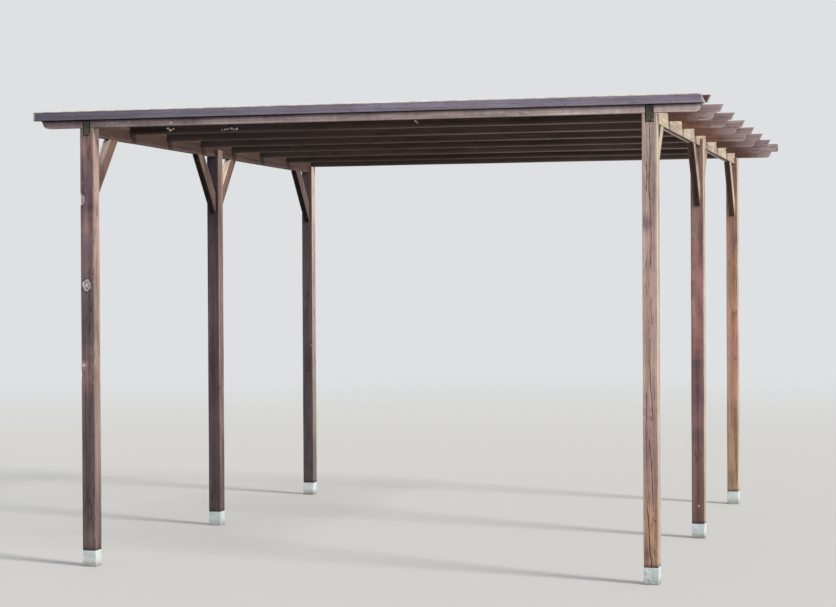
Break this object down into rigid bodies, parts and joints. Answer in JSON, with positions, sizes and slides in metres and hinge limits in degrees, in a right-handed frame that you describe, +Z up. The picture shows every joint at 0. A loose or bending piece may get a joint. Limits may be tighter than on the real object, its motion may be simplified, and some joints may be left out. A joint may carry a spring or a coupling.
{
  "type": "wooden pergola",
  "caption": "Free-standing flat-topped timber pergola: forked posts on square concrete plinths, side beams, notched rafters with shaped ends, knee braces and fascia boards.",
  "frame": {"origin": "on the ground at the centre of the plan", "axes": "+X to the right along the rafters, +Y to the back along the beams, +Z up"},
  "size_m": [4.2, 4.544, 2.827],
  "materials": {
    "post_timber": "weathered stain",
    "beam_timber": "weathered stain",
    "rafter_timber": "weathered stain",
    "fascia_timber": "greyed stain",
    "concrete": "cast, rough"
  },
  "bodies": {
    "root": {"plinth_front_left": "concrete", "post_front_left": "post_timber", "plinth_middle_left": "concrete", "post_middle_left": "post_timber", "plinth_rear_left": "concrete", "post_rear_left": "post_timber", "beam_left": "beam_timber", "brace_front_left": "beam_timber", "brace_middle_left_forward": "beam_timber", "brace_middle_left_back": "beam_timber", "brace_rear_left": "beam_timber", "plinth_front_right": "concrete", "post_front_right": "post_timber", "plinth_middle_right": "concrete", "post_middle_right": "post_timber", "plinth_rear_right": "concrete", "post_rear_right": "post_timber", "beam_right": "beam_timber", "brace_front_right": "beam_timber", "brace_middle_right_forward": "beam_timber", "brace_middle_right_back": "beam_timber", "brace_rear_right": "beam_timber", "rafter_1": "rafter_timber", "rafter_2": "rafter_timber", "rafter_3": "rafter_timber", "rafter_4": "rafter_timber", "rafter_5": "rafter_timber", "rafter_6": "rafter_timber", "rafter_7": "rafter_timber", "rafter_8": "rafter_timber", "fascia_front": "fascia_timber", "fascia_rear": "fascia_timber"}
  },
  "joints": []
}
